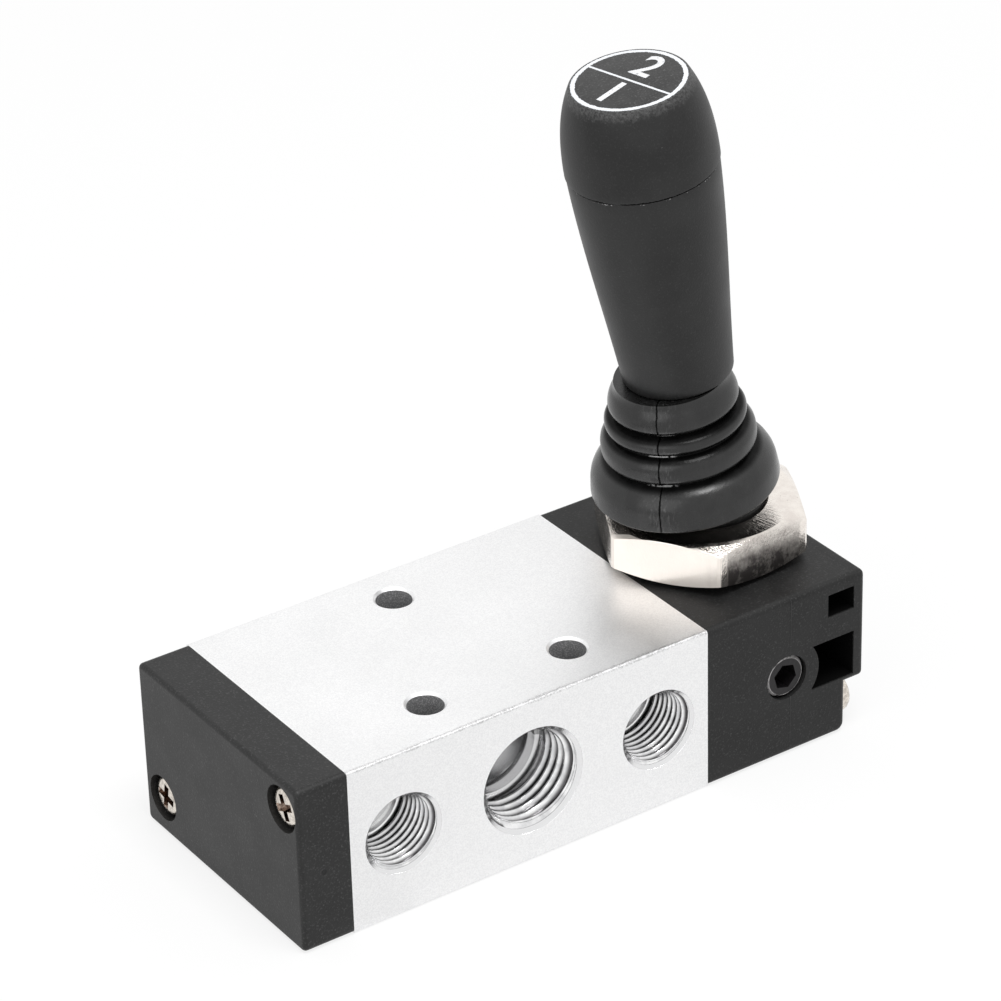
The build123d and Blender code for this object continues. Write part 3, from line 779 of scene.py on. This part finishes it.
def planes_of(edge, outer):
    """How many of the outer planes an edge lies in. A plane is its axis and its place there."""
    return sum(all(abs(v.co[axis] - value * MM) < 1e-6 for v in edge.verts) for axis, value in outer)


def edge_bar(low, high, outer, rounding):
    """A bar between two corners, rounded where two of the outer planes meet."""
    bm = bmesh.new()
    bmesh.ops.create_cube(bm, size=1.0)
    low, high = Vector(low) * MM, Vector(high) * MM
    bmesh.ops.scale(bm, verts=bm.verts, vec=high - low)
    bmesh.ops.translate(bm, verts=bm.verts, vec=(low + high) / 2)
    chosen = [edge for edge in bm.edges if planes_of(edge, outer) >= 2]
    bmesh.ops.bevel(bm, geom=chosen, offset=rounding * MM, affect="EDGES", segments=6, profile=0.5,
                    material=-1, clamp_overlap=True)
    return bm


def block_bars():
    """Bars for the four long edges of the block."""
    outer = [(1, FRONT), (1, -FRONT), (2, 0.0), (2, BLOCK_TOP)]
    bars = bmesh.new()
    for y_low in (FRONT, -FRONT - BLOCK_ROUNDING):
        for z_low in (0.0, BLOCK_TOP - BLOCK_ROUNDING):
            high = (BLOCK_END, y_low + BLOCK_ROUNDING, z_low + BLOCK_ROUNDING)
            join(bars, edge_bar((-BLOCK_END, y_low, z_low), high, outer, BLOCK_EDGE))
    return bars


def housing_bar():
    """A bar for the housing's top end edge."""
    outer = [(0, HOUSING_END), (1, BAR_SIDE), (1, -BAR_SIDE), (2, BLOCK_TOP)]
    low = (HOUSING_END - HOUSING_ROUNDING, BAR_SIDE, BLOCK_TOP - HOUSING_ROUNDING)
    return edge_bar(low, (HOUSING_END, -BAR_SIDE, BLOCK_TOP), outer, HOUSING_EDGE)


piece(block_bars(), "block_edges", [block_metal], "valve", 10.0)
piece(housing_bar(), "housing_edge", [housing_plastic], "valve", 10.0)

# %% [markdown]
# ## Threads in the ports
# A pipe thread is a ridge that winds along the wall, with its crest towards the axis. The wall of
# the CAD port lies at the thread's outer radius, so the ridge is added inside it: a rounded
# triangle is spun with a step along the axis on every step round it, which gives a helix. Where the
# mouth is chamfered, the ridge is pressed out to the chamfer's cone, as the tool cuts it there. An
# attribute keeps how deep in the groove each point lies, and the finish paints the groove darker by
# it as shade, and the ridge darker deeper in the port.

# %% Finish of the threads
def thread_finish():
    """Bright cut threads, with painted shade in the groove and deeper in the port. The root attribute is 0
    on a ridge's crest and 1 down in the groove.
    """
    material, shader = finish("cut thread", (0.88, 0.88, 0.885), 1.0, 0.16)
    own, (x, y, z) = place(material)
    root = add("ShaderNodeAttribute", {"attribute_name": "root"}, None, material.node_tree).outputs["Fac"]
    cloud = grain(own, 1.6, 2.0)
    bright = blend(between(cloud, 0.3, 0.7), (0.66, 0.66, 0.67, 1), grey(0.92))
    # Painted shade: the thread is darker deeper in the port, and darker down in the groove below.
    deep = between(calc("ABSOLUTE", y), 15.0, 9.0, 0.0, 0.35)
    bright = blend(deep, bright, (0.30, 0.30, 0.31, 1))
    colour = blend(between(root, 0.2, 0.8), bright, (0.09, 0.087, 0.09, 1))
    feed(material, shader, Base_Color=colour, Roughness=between(cloud, 0.3, 0.7, 0.14, 0.22))
    return material


thread_metal = thread_finish()
print("thread finish", len(thread_metal.node_tree.nodes), "nodes")

# %% [markdown]
# All five ridges are wound by the same few lines from the size of their port. Each is shaped about
# Z, which runs into the port, and is turned and moved to its mouth last.

# %% Cut the threads
THREAD_STEPS = 64


def wind_ridge(bm, size):
    """Spin the ridge's section into a helix. Z runs into the port from its face."""
    pitch, base, crest = size["pitch"], size["wall"] + 0.05, size["crest"]
    turns = (size["depth"] + pitch / 2) / pitch
    corners = [(base, -0.47), (crest, -0.08), (crest, 0.08), (base, 0.47)]
    points = [bm.verts.new((r * MM, 0.0, (h - 0.5) * pitch * MM)) for r, h in corners]
    bm.faces.new(points)
    bmesh.ops.bevel(bm, geom=points[1:3], offset=0.10 * pitch * MM, affect="VERTICES", segments=3,
                    profile=0.5, material=-1)
    bmesh.ops.spin(bm, geom=bm.verts[:] + bm.edges[:] + bm.faces[:], cent=(0, 0, 0), axis=(0, 0, 1),
                   dvec=(0, 0, pitch / THREAD_STEPS * MM), angle=tau * turns,
                   steps=round(THREAD_STEPS * turns), use_merge=False, use_duplicate=False)


def press_out(bm, size):
    """Press the ridge out to the mouth's cone and to the wall at its inner end."""
    base, crest = size["wall"] + 0.05, size["crest"]
    root = bm.verts.layers.float.new("root")
    for v in bm.verts:
        depth, out = v.co.z / MM, hypot(v.co.x, v.co.y) / MM
        mouth_cone = size["wall"] + size["mouth"] - depth + 0.06
        end_cone = base + (depth - size["depth"]) * 0.8
        wider = max(out, mouth_cone, min(end_cone, base)) / out
        v[root] = 0.0 if mouth_cone > out else (out - crest) / (base - crest)
        v.co = (v.co.x * wider, v.co.y * wider, max(depth, 0.05) * MM)


for name, (size, centre, side) in PORTS.items():
    ridge = bmesh.new()
    wind_ridge(ridge, size)
    press_out(ridge, size)
    mouth = Matrix.Translation((centre, -FRONT * side, AXIS_HEIGHT))
    into_port = mouth @ Matrix.Rotation(pi / 2 * side, 4, "X")
    bmesh.ops.transform(ridge, matrix=to_metres(into_port), verts=ridge.verts)
    piece(ridge, "thread_" + name, [thread_metal], "valve", 40.0)

# %% [markdown]
# ## Turning a piece
# Nearly every other new piece is turned: a lathe would make its mould or the piece itself. So a
# piece starts as one flat face, whose corners are rounded by a vertex bevel, and the spin operator
# turns its outline about an axis. Beside typed lists of points, this keeps the rounding a plain
# number that can be changed.

# %% Helpers for turned pieces
def outline(bm, corners, segments=4):
    """Draw a closed outline of (radius, height, rounding) corners in millimetres and round it."""
    points = [bm.verts.new((r * MM, 0.0, h * MM)) for r, h, size in corners]
    bm.faces.new(points)
    for size in sorted({corner[2] for corner in corners if corner[2]}):
        chosen = [v for v, corner in zip(points, corners) if corner[2] == size]
        bmesh.ops.bevel(bm, geom=chosen, offset=size * MM, affect="VERTICES", segments=segments,
                        profile=0.5, material=-1, clamp_overlap=True)
    bmesh.ops.delete(bm, geom=bm.faces[:], context="FACES_ONLY")


def turn(bm, steps):
    """Spin an outline once round the Z axis, and drop the edge that lay on the axis."""
    bmesh.ops.spin(bm, geom=bm.verts[:] + bm.edges[:], cent=(0, 0, 0), axis=(0, 0, 1), dvec=(0, 0, 0),
                   angle=tau, steps=steps, use_merge=True, use_duplicate=False)
    bmesh.ops.remove_doubles(bm, verts=bm.verts, dist=1e-6)
    on_axis = [edge for edge in bm.edges if not edge.link_faces]
    bmesh.ops.delete(bm, geom=on_axis, context="EDGES")


print("helpers for turned pieces are ready")

# %% [markdown]
# ## Screws with a cross recess
# The screws are pan heads with a cross recess. The head and the shank are one turned outline. The
# recess tapers towards its floor, so its cutter is two crossed blocks whose lower face is smaller.

# %% Shape a screw and its recess
HEAD_RADIUS, HEAD_HEIGHT, SHANK_RADIUS = 2.7, 1.9, 1.48
CAP_SCREWS, CAP_SEAT, CAP_SHANK = [(-14.1, 18.2), (13.5, 4.9)], -30.0, 12.4
HOUSING_SCREWS, HOUSING_SEAT, HOUSING_SHANK = [(-13.9, 3.5), (13.9, 3.5)], HOUSING_END - 2.8, 29.1


def pan_head(shank):
    """A turned screw with its seat at zero and its head above."""
    bm = bmesh.new()
    outline(bm, [(0.0, HEAD_HEIGHT, 0), (HEAD_RADIUS, HEAD_HEIGHT, 1.0), (HEAD_RADIUS, 0.0, 0.2),
                 (SHANK_RADIUS, 0.0, 0), (SHANK_RADIUS, -shank, 0.25), (0.0, -shank, 0)])
    turn(bm, 48)
    return bm


def cross_recess(turned):
    """Two crossed tapered blocks, wide at the top, that reach down into the head."""
    bm = bmesh.new()
    for angle in (turned, turned + pi / 2):
        made = bmesh.ops.create_cube(bm, size=1.0)["verts"]
        bmesh.ops.scale(bm, verts=made, vec=(3.7 * MM, 1.0 * MM, 2.0 * MM))
        low = [v for v in made if v.co.z < 0]
        bmesh.ops.scale(bm, verts=low, vec=(0.45, 0.7, 1.0))
        bmesh.ops.rotate(bm, verts=made, cent=(0, 0, 0), matrix=Matrix.Rotation(angle, 3, "Z"))
    bmesh.ops.translate(bm, verts=bm.verts, vec=(0, 0, 1.3 * MM))
    return bm


print("screw heads", 2 * HEAD_RADIUS, "mm wide")

# %% [markdown]
# A Boolean modifier takes the cutters away from the heads, both screws of a cover at once. The
# faces that it cuts get the recess finish, which is painted dark as shade.

# %% Cut and place the screws
def cut_away(whole, tool, materials):
    """Take a tool away from a closed bmesh. The cut faces get the second material."""
    operands = []
    for index, bm in enumerate((whole, tool)):
        bmesh.ops.recalc_face_normals(bm, faces=bm.faces)
        for face in bm.faces:
            face.material_index = index
        mesh = bpy.data.meshes.new("operand")
        bm.to_mesh(mesh)
        bm.free()
        for material in materials:
            mesh.materials.append(material)
        made = bpy.data.objects.new("operand", mesh)
        bpy.context.scene.collection.objects.link(made)
        operands.append(made)
    change = operands[0].modifiers.new("cut away", "BOOLEAN")
    change.operation = "DIFFERENCE"
    change.solver = "EXACT"
    change.use_self = True
    change.object = operands[1]
    seen = operands[0].evaluated_get(bpy.context.evaluated_depsgraph_get())
    result = bmesh.new()
    result.from_mesh(seen.to_mesh())
    seen.to_mesh_clear()
    for made in operands:
        bpy.data.objects.remove(made)
    return result


def screw_pair(name, places, seat, angle, shank, node):
    """Screws at these places on a seat, with their heads turned to point along X."""
    heads, recesses = bmesh.new(), bmesh.new()
    for count, (y, z) in enumerate(places):
        stand = Matrix.Translation((seat, y, z)) @ Matrix.Rotation(angle, 4, "Y")
        join(heads, pan_head(shank), stand)
        join(recesses, cross_recess(0.4 + count), stand)
    metals = [screw_metal, recess_shade_metal]
    made = piece(cut_away(heads, recesses, metals), name, metals, "valve", 32.0)
    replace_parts(made, node)


screw_pair("cap_screw_pair", CAP_SCREWS, CAP_SEAT, -pi / 2, CAP_SHANK, "end_cap_screws")
screw_pair("housing_screw_pair", HOUSING_SCREWS, HOUSING_SEAT, pi / 2, HOUSING_SHANK, "housing_screws")

# %% [markdown]
# ## The grip and its top
# The handle is moulded in two pieces that meet at a fine line: a tapered grip, pressed on the rod,
# and a bulged top with a spigot in the grip and a shallow seat for the disc. Both are turned. The
# long side of each is one Bezier curve, because a moulded handle has no flats, and only the ends
# are sharp corners with a small rounding. The grip leans a hair to one side, as the real one does.

# %% Turn the grip and its top
ROD_BORE, SPIGOT_LOW, DISC_SEAT, DISC_RADIUS = 3.45, 47.3, KNOB_TOP - 0.6, 6.85
grip_low, grip_high = (6.75, GRIP_BOTTOM), (9.06, GRIP_SPLIT - 0.03)
knob_low, knob_high = (9.17, GRIP_SPLIT), (7.08, KNOB_TOP)


def bow(start, one, two, end):
    """Points of a smooth stretch of an outline between two corners, which it leaves out."""
    points = interpolate_bezier(Vector(start), Vector(one), Vector(two), Vector(end), 18)
    return [(point[0], point[1], 0) for point in points[1:-1]]


def lever_piece(name, corners, material, node, askew=0.0):
    """Turn an outline about the lever's axis. Askew leans a piece to one side below the split."""
    bm = bmesh.new()
    outline(bm, corners)
    turn(bm, 160)
    for v in bm.verts:
        v.co.x += askew * (GRIP_SPLIT * MM - v.co.z)
    bmesh.ops.transform(bm, matrix=to_metres(lever_frame), verts=bm.verts)
    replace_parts(piece(bm, name, [material], "lever"), node)


lever_piece("handle_grip", [
    (ROD_BORE, GRIP_BOTTOM, 0), (*grip_low, 0.35), *bow(grip_low, (7.48, 32.0), (8.78, 41.7), grip_high),
    (*grip_high, 0.1), (5.02, GRIP_SPLIT - 0.03, 0), (5.02, SPIGOT_LOW, 0), (ROD_BORE, SPIGOT_LOW, 0),
], grip_plastic, "grip", 0.012)
lever_piece("handle_top", [
    (0.0, SPIGOT_LOW + 0.1, 0), (5.0, SPIGOT_LOW + 0.1, 0), (5.0, GRIP_SPLIT, 0), (*knob_low, 0.12),
    *bow(knob_low, (9.2, 55.2), (8.8, 59.1), knob_high), (*knob_high, 0.12),
    (DISC_RADIUS + 0.02, KNOB_TOP, 0), (DISC_RADIUS + 0.02, DISC_SEAT, 0), (0.0, DISC_SEAT, 0),
], knob_plastic, "grip_knob")

# %% [markdown]
# ## The rubber bellows
# The boot keeps dust out of the pivot. It is moulded rubber: a deep skirt, two rings that get
# smaller, and a collar under the grip, with sharp dark grooves between them. The outline is drawn
# once with a rounding for each corner and turned about the boot's own leaning axis. Its finish has
# a soft shine, grooves painted black as shade, and the mould's seam up the front with pale rubbed
# patches, partly painted highlights, and pale flecks by it.

# %% Finish of the rubber
BELLOWS = [
    (9.9, 0.0, 0.1), (11.6, 0.0, 0.35), (11.15, 4.0, 2.0), (8.7, 5.0, 0.3),
    (8.5, 5.2, 0.2), (9.55, 5.4, 1.0), (9.4, 8.35, 1.3), (8.0, 8.6, 0.3),
    (7.8, 8.85, 0.2), (8.65, 9.1, 0.75), (8.65, 10.75, 0.8), (6.95, 11.0, 0.3),
    (6.75, 11.25, 0.2), (7.95, 11.5, 0.8), (7.9, 13.3, 1.1), (6.95, 14.6, 0.5), (6.75, 16.3, 0.2),
    (4.0, 16.3, 0.0), (4.0, 11.3, 0.0), (6.0, 8.8, 0.0), (7.0, 5.2, 0.0), (9.9, 3.4, 0.6),
]
GROOVES = (5.05, 8.75, 11.15)
SEAM_ACROSS = (0.616, -0.788)


def seam_distance(own, x, y):
    """How far a point is from the mould's seam, which wanders a little."""
    wander = product(minus(grain(own, 1.2, 3.0, 0.7), 0.5), 0.35)
    across = plus(product(x, SEAM_ACROSS[0]), product(y, SEAM_ACROSS[1]), wander)
    return calc("ABSOLUTE", across)


def rubber_finish():
    """Black rubber with a soft shine: grooves painted black as shade, a mould seam, pale rubbed patches
    that are partly painted highlights, and pale flecks.
    """
    material, shader = finish("boot rubber", (0.006, 0.006, 0.006), 0.0, 0.3)
    own = own_place(material)
    upright = on_leaning_axis(own, boot_frame.translation, BOOT_LEAN)
    x, y, z = millimetres(upright)
    cloud = grain(own, 3.0, 4.0, 0.6)
    front = calc("LESS_THAN", y, 0.0)
    from_seam = seam_distance(own, x, y)
    seam = product(between(from_seam, 0.13, 0.05), front)
    near_seam = product(between(from_seam, 3.2, 0.4), front)
    depths = [apart(z, height) for height in GROOVES]
    groove = any_of([between(depth, 0.95, 0.25) for depth in depths])
    fleck = product(any_of([between(depth, 0.13, 0.06) for depth in depths]),
                    between(near_seam, 0.35, 0.75),
                    between(grain(own, 0.8, 2.0), 0.42, 0.5))
    # Pale rubbed patches near the seam, partly painted highlights on the rings.
    scuff_and_highlight = product(between(grain(own, 0.5, 4.0, 0.75, (1.6, 1.6, 0.35)), 0.5, 0.72),
                    plus(product(near_seam, 0.45), 0.05),
                    minus(1.0, groove))
    colour = blend(between(cloud, 0.35, 0.7), grey(0.004), grey(0.009))
    colour = blend(scuff_and_highlight, colour, grey(0.10))
    colour = blend(seam, colour, grey(0.001))
    colour = blend(fleck, colour, grey(0.5))
    # Painted shade: the grooves lose almost all their shine, so they render black.
    shine = product(between(groove, 0.0, 1.0, 0.52, 0.05), between(seam, 0.0, 1.0, 1.0, 0.1))
    relief = bump(grain(own, 0.25, 2.0), 0.012)
    relief = bump(minus(1.0, seam), 0.12, relief)
    feed(material, shader, Base_Color=colour, Normal=relief, Specular_IOR_Level=shine,
         Roughness=between(cloud, 0.3, 0.7, 0.2, 0.33))
    return material


boot_rubber = rubber_finish()
print("rubber finish", len(boot_rubber.node_tree.nodes), "nodes, grooves at", GROOVES)

# %% [markdown]
# The rubber sags a little towards the ports, the rings more than the skirt. The grip presses on the
# collar, so the top is cut off by the plane of the grip's lower end, and the cut is closed between
# its two rims.

# %% Turn the bellows
def bellows():
    """The boot, turned, moved to its place and cut under the grip."""
    bm = bmesh.new()
    outline(bm, BELLOWS, 5)
    turn(bm, 128)
    for v in bm.verts:
        on_rings = min(max(v.co.z / MM - 4.6, 0.0), 1.0)
        v.co.x -= (0.2 + 0.1 * on_rings) * MM
    bmesh.ops.transform(bm, matrix=to_metres(boot_frame), verts=bm.verts)
    cut_point = lever_frame @ Vector((0, 0, GRIP_BOTTOM - 0.05))
    normal = lever_frame.to_3x3() @ Vector((0, 0, 1))
    bmesh.ops.bisect_plane(bm, geom=bm.verts[:] + bm.edges[:] + bm.faces[:], dist=1e-7,
                           plane_co=cut_point * MM, plane_no=normal, clear_outer=True)
    rims = [edge for edge in bm.edges if len(edge.link_faces) == 1]
    bmesh.ops.bridge_loops(bm, edges=rims)
    return bm


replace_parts(piece(bellows(), "bellows", [boot_rubber], "lever", 50.0), "boot")

# %% [markdown]
# ## The disc and its numbers
# The disc is let into the top of the handle. Its ring and line are the paint made above, and a
# plain number stands for each position of the lever. Numbers need clean outlines, which paint in a
# material can't give, so they are thin text that is turned into mesh.

# %% Make the disc and its numbers
NUMBER_SIZE, NUMBER_PLACE, PRINT_THICKNESS = 6.2, 3.2, 0.012


def disc_finish():
    """Black plastic with the painted ring and line."""
    material, shader, colour = moulded("disc plastic", 0.022, 0.36, 0.42, 2.0)[:3]
    own = own_place(material)
    feed(material, shader, Base_Color=blend(disc_print(own), colour, PAINT))
    return material


def print_finish():
    """White print with small gaps where it is worn."""
    material, shader = finish("white print", (0.72, 0.73, 0.75), 0.0, 0.5)
    own = own_place(material)
    kept = between(grain(own, 0.5, 4.0, 0.7), 0.34, 0.42)
    feed(material, shader, Base_Color=blend(kept, grey(0.12), (0.74, 0.75, 0.77, 1)))
    return material


def number(name, text, across, material):
    """A printed number that reads along the valve, on one half of the disc."""
    curve = bpy.data.curves.new(name, "FONT")
    curve.body = text
    curve.size = NUMBER_SIZE * MM
    curve.align_x = "CENTER"
    curve.align_y = "CENTER"
    curve.extrude = PRINT_THICKNESS * MM
    curve.offset = 0.08 * MM
    flat = bpy.data.objects.new(name + "_text", curve)
    bpy.context.scene.collection.objects.link(flat)
    mesh = bpy.data.meshes.new_from_object(flat.evaluated_get(bpy.context.evaluated_depsgraph_get()))
    bpy.data.objects.remove(flat)
    bm = bmesh.new()
    bm.from_mesh(mesh)
    half = Matrix.Translation((across, 0.0, KNOB_TOP + PRINT_THICKNESS))
    stand = lever_frame @ Matrix.Rotation(PRINT_TURN, 4, "Z") @ half @ Matrix.Rotation(-pi / 2, 4, "Z")
    bmesh.ops.transform(bm, matrix=to_metres(stand), verts=bm.verts)
    piece(bm, name, [material], "lever")


lever_piece("handle_disc", [
    (0.0, DISC_SEAT + 0.01, 0), (DISC_RADIUS, DISC_SEAT + 0.01, 0), (DISC_RADIUS, KNOB_TOP, 0.06),
    (0.0, KNOB_TOP, 0),
], disc_finish(), "indicator_disc")
white_print = print_finish()
number("number_one", "1", -NUMBER_PLACE, white_print)
number("number_two", "2", NUMBER_PLACE, white_print)
